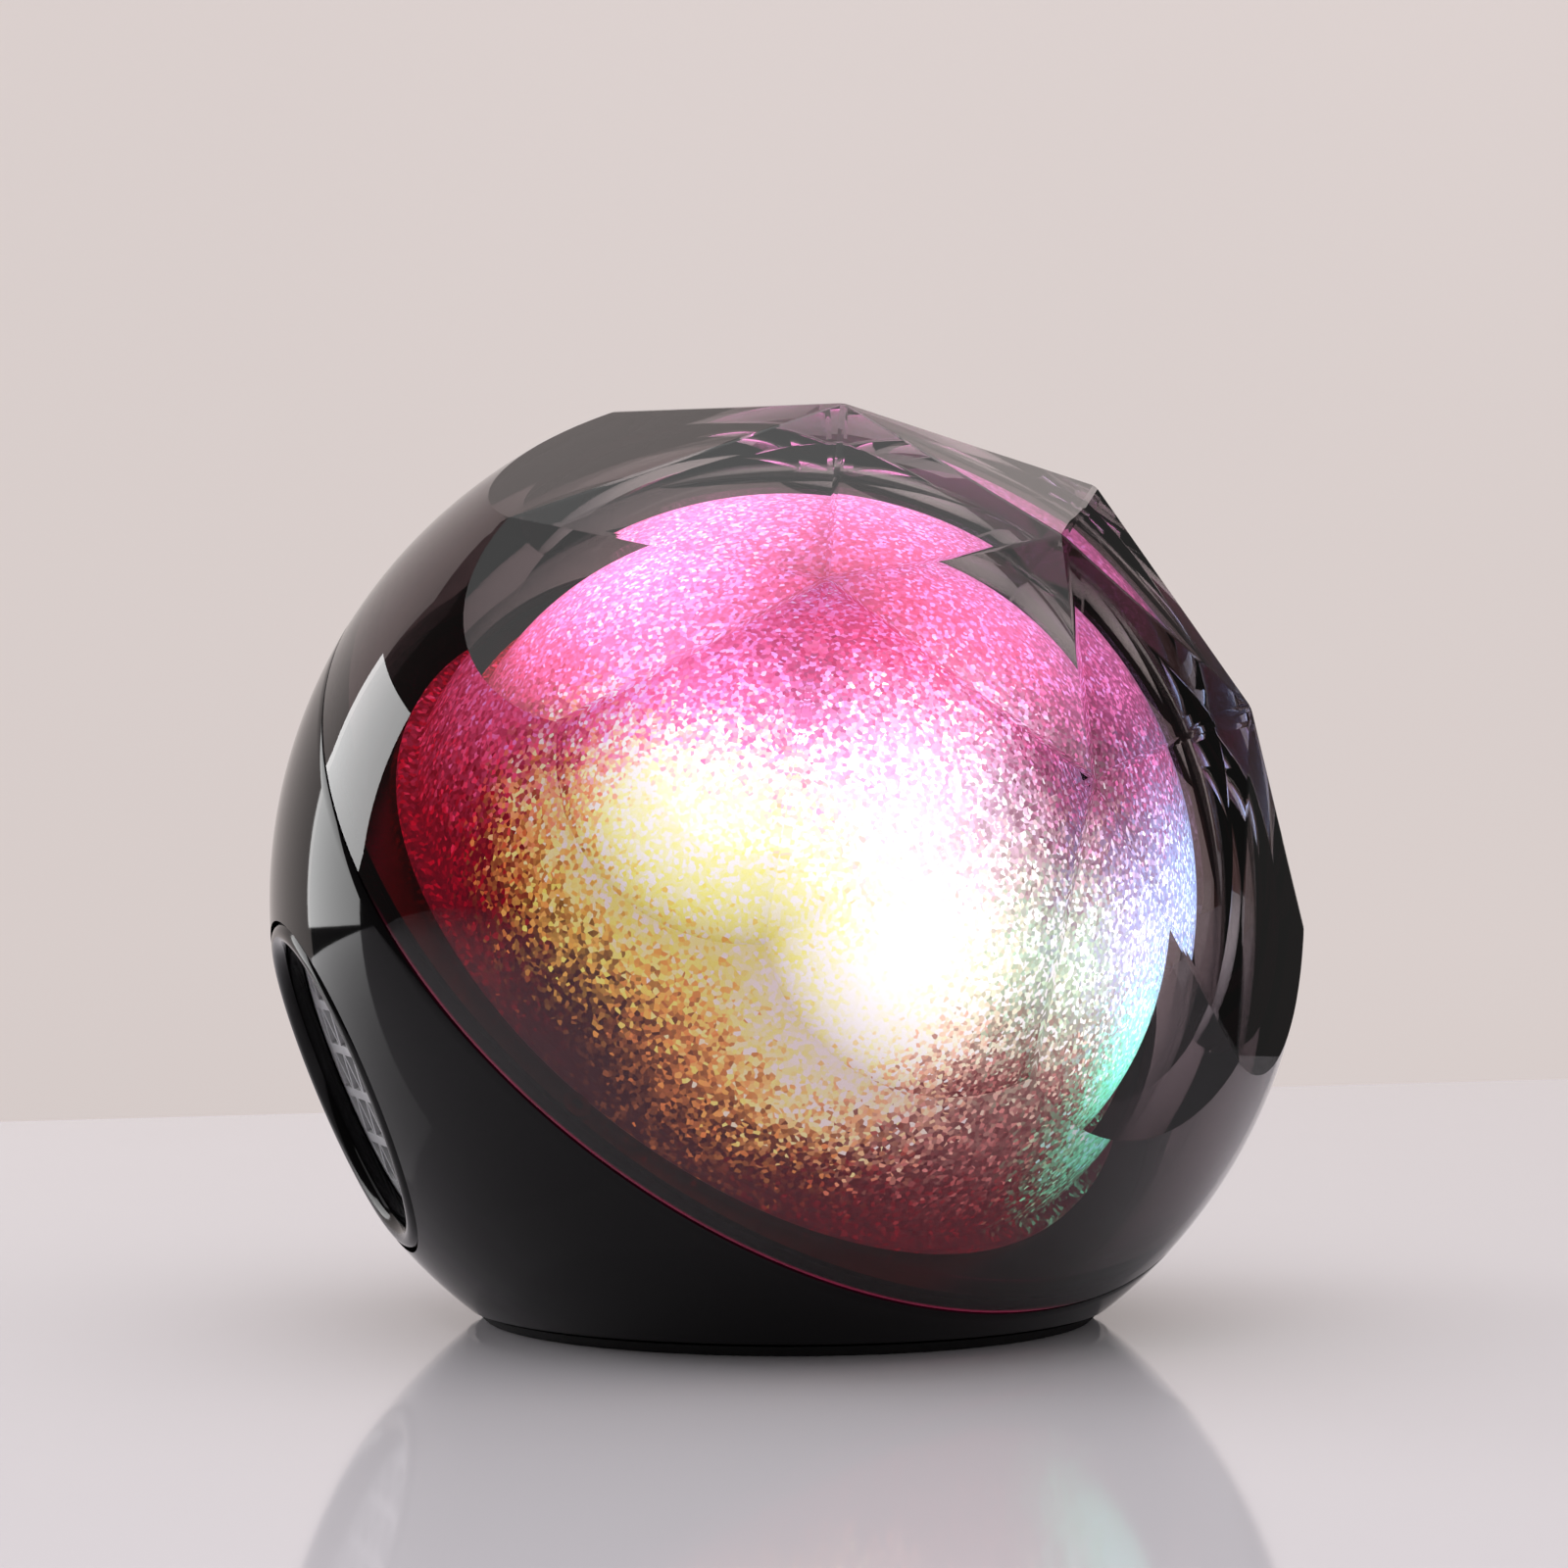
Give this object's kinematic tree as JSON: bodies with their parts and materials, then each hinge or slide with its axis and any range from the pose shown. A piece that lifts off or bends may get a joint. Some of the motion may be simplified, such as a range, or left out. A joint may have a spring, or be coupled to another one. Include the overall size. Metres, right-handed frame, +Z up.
{
  "type": "magic ball speaker light",
  "caption": "Ball-shaped coloured party lamp with a faceted clear dome over a glittered inner dome, and a black rear half with side loudspeakers and a control panel.",
  "frame": {"origin": "middle of the flat underside of the foot pad", "axes": "+Z up, -Y towards the front, where the clear dome leans, +X to the right of the lamp's front as seen from behind it"},
  "size_m": [0.116, 0.1133, 0.1018],
  "materials": {
    "black_gloss": "polished moulded plastic",
    "black_satin": "fine satin moulded plastic",
    "smoked_clear": "clear smoked plastic, polished",
    "glitter": "frosted plastic with a glittering film",
    "white_plastic": "white moulded plastic",
    "led_lens": "coloured lamp lens",
    "foot_rubber": "matt rubber",
    "surround_rubber": "thin soft rubber",
    "cone_paper": "pressed black paper",
    "copper": "enamelled copper winding",
    "steel": "zinc plated",
    "ferrite": "ground ferrite",
    "circuit_board": "lacquered glass fibre board",
    "cell": "cell in a shrunk film wrap"
  },
  "bodies": {
    "casing": {"rear_housing": "black_gloss", "clear_dome": "smoked_clear", "glitter_dome": "glitter", "mid_plate": "black_satin", "mid_plate_screw_1": "steel", "mid_plate_screw_2": "steel", "mid_plate_screw_3": "steel", "reflector_dish": "white_plastic", "led_board": "white_plastic", "led_white": "led_lens", "led_red": "led_lens", "led_magenta": "led_lens", "led_blue": "led_lens", "led_green": "led_lens", "led_amber": "led_lens", "foot_pad": "foot_rubber", "base_plate": "black_satin", "base_screw_1": "steel", "base_screw_2": "steel", "base_screw_3": "steel", "base_screw_4": "steel", "battery": "cell", "battery_tray": "black_satin", "left_grille_rim": "black_gloss", "left_grille": "black_satin", "left_speaker_basket": "steel", "left_top_plate": "steel", "left_magnet": "ferrite", "left_yoke": "steel", "left_surround": "surround_rubber", "right_grille_rim": "black_gloss", "right_grille": "black_satin", "right_speaker_basket": "steel", "right_top_plate": "steel", "right_magnet": "ferrite", "right_yoke": "steel", "right_surround": "surround_rubber", "control_panel": "black_satin", "power_switch": "steel", "status_lens": "white_plastic", "usb_socket": "steel", "aux_socket": "black_satin", "main_board": "circuit_board", "board_screw_1": "steel", "board_screw_2": "steel", "bluetooth_module": "steel", "tact_switch_1": "black_satin", "tact_switch_2": "black_satin", "tact_switch_3": "black_satin", "tact_switch_4": "black_satin"},
    "light_button": {"light_button": "black_satin"},
    "previous_button": {"previous_button": "black_satin"},
    "play_button": {"play_button": "black_satin"},
    "next_button": {"next_button": "black_satin"},
    "power_slider": {"power_slider": "black_satin"},
    "left_cone": {"left_cone": "cone_paper", "left_voice_coil": "copper"},
    "right_cone": {"right_cone": "cone_paper", "right_voice_coil": "copper"}
  },
  "joints": [
    {"name": "light_button_press", "type": "slide", "parent": "casing", "child": "light_button", "axis": [0, -0.9848, -0.1736], "range_m": [0, 0.0005], "stiffness_N_per_m": 3000},
    {"name": "previous_button_press", "type": "slide", "parent": "casing", "child": "previous_button", "axis": [0, -0.9848, -0.1736], "range_m": [0, 0.0005], "stiffness_N_per_m": 3000},
    {"name": "play_button_press", "type": "slide", "parent": "casing", "child": "play_button", "axis": [0, -0.9848, -0.1736], "range_m": [0, 0.0005], "stiffness_N_per_m": 3000},
    {"name": "next_button_press", "type": "slide", "parent": "casing", "child": "next_button", "axis": [0, -0.9848, -0.1736], "range_m": [0, 0.0005], "stiffness_N_per_m": 3000},
    {"name": "power_slide", "type": "slide", "parent": "casing", "child": "power_slider", "axis": [-1, 0, 0], "range_m": [0, 0.002]},
    {"name": "left_cone_stroke", "type": "slide", "parent": "casing", "child": "left_cone", "axis": [-0.8338, 0.4085, -0.3714], "range_m": [-0.0008, 0.0008], "stiffness_N_per_m": 1000, "deforming": ["left_surround"]},
    {"name": "right_cone_stroke", "type": "slide", "parent": "casing", "child": "right_cone", "axis": [0.8338, 0.4085, -0.3714], "range_m": [-0.0008, 0.0008], "stiffness_N_per_m": 1000, "deforming": ["right_surround"]}
  ]
}
